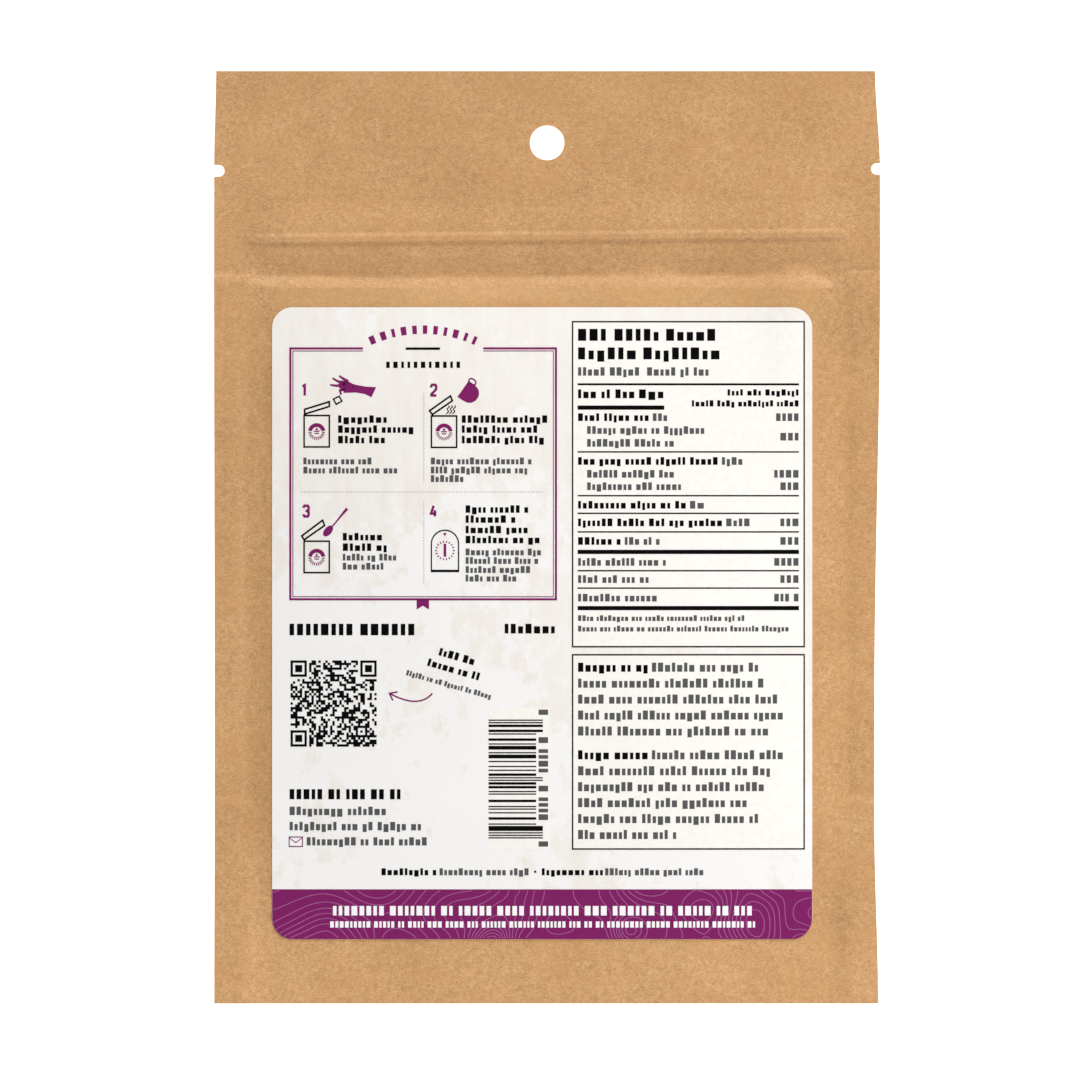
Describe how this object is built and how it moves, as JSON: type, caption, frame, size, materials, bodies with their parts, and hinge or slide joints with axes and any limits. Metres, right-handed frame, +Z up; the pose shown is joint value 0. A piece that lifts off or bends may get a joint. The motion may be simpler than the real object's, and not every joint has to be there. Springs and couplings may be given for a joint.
{
  "type": "kraft paper zip pouch of dried soup",
  "caption": "Flat kraft paper pouch with a press-to-close zip, hang hole, tear notches and a large printed back label, lying label side up.",
  "frame": {"origin": "under the middle of the pouch, on the surface that it lies on", "axes": "+X to the right as the label is read, +Y towards the hang hole, +Z up, out of the label"},
  "size_m": [0.14, 0.196, 0.0102],
  "materials": {
    "kraft": "satin",
    "label_paper": "satin"
  },
  "bodies": {
    "root": {"pouch": "kraft", "back_label": "label_paper"}
  },
  "joints": []
}
